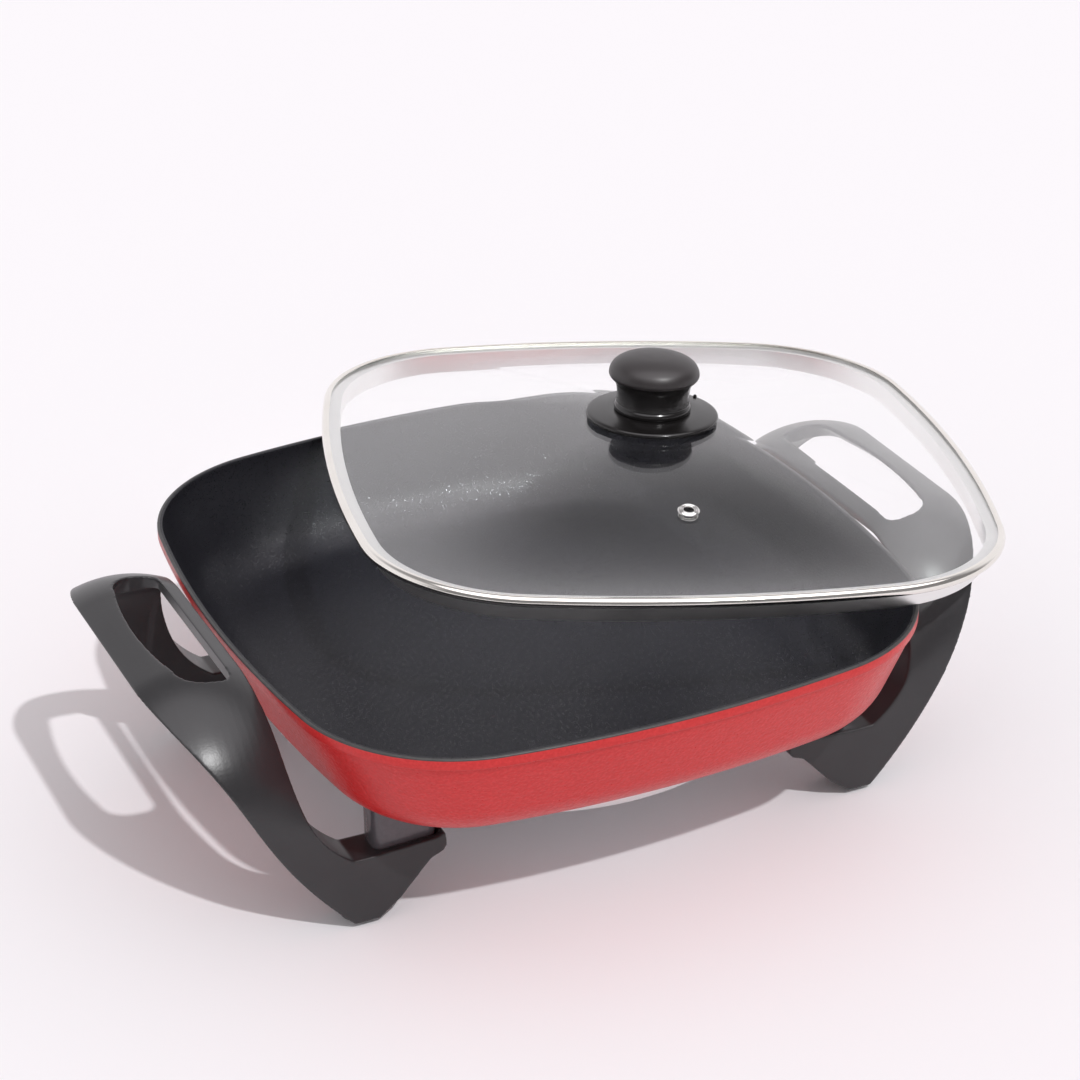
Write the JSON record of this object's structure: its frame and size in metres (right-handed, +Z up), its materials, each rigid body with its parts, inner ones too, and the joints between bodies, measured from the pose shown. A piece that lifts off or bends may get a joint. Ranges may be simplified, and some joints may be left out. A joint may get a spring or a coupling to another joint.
{
  "type": "electric skillet",
  "caption": "Square cast electric skillet on two arched handle-legs with finger slots, heater and plug inlet below, and a loose domed glass lid lying askew on the rim.",
  "frame": {"origin": "on the table that the four rubber feet stand on, under the centre of the pan", "axes": "+Z up, out of the cooking surface; +X from the left handle to the right handle, towards the plug inlet; -Y is the front"},
  "size_m": [0.512, 0.4308, 0.1888],
  "materials": {
    "pan_paint": "red hammered enamel outside, black non-stick coating inside",
    "sheath_steel": "dull heat-tinted sheath",
    "pin_metal": "plated contact pin",
    "shroud_steel": "plain sheet steel",
    "insulator_ceramic": "unglazed ceramic block",
    "probe_metal": "drawn tube",
    "spring_brass": "bare strip",
    "fastener_steel": "zinc-plated",
    "cover_metal": "polished",
    "handle_plastic": "satin black phenolic moulding",
    "foot_rubber": "matt black",
    "lid_glass": "clear tempered glass",
    "lid_steel": "polished stainless band",
    "vent_metal": "polished eyelet",
    "knob_plastic": "glossy black phenolic moulding",
    "seal_rubber": "pale silicone"
  },
  "bodies": {
    "base": {"pan_body": "pan_paint", "heating_element": "sheath_steel", "terminal_pins": "pin_metal", "inlet_shroud": "shroud_steel", "inlet_insulator": "insulator_ceramic", "probe_tube": "probe_metal", "earth_spring": "spring_brass", "shroud_screws": "fastener_steel", "bottom_cover": "cover_metal", "cover_screw": "fastener_steel", "cover_washer": "fastener_steel", "handle_left": "handle_plastic", "handle_right": "handle_plastic", "handle_screws_left": "fastener_steel", "handle_screws_right": "fastener_steel", "foot_front_left": "foot_rubber", "foot_rear_left": "foot_rubber", "foot_front_right": "foot_rubber", "foot_rear_right": "foot_rubber"},
    "lid": {"lid_glass": "lid_glass", "lid_rim": "lid_steel", "vent_eyelet": "vent_metal", "knob_base": "knob_plastic", "knob": "knob_plastic", "knob_screw": "fastener_steel", "knob_washer": "fastener_steel", "knob_seal_lower": "seal_rubber", "knob_seal_upper": "seal_rubber"}
  },
  "joints": [
    {"name": "lid_lift", "type": "slide", "parent": "base", "child": "lid", "axis": [0, 0, 1], "range_m": [0, 0.14]}
  ]
}
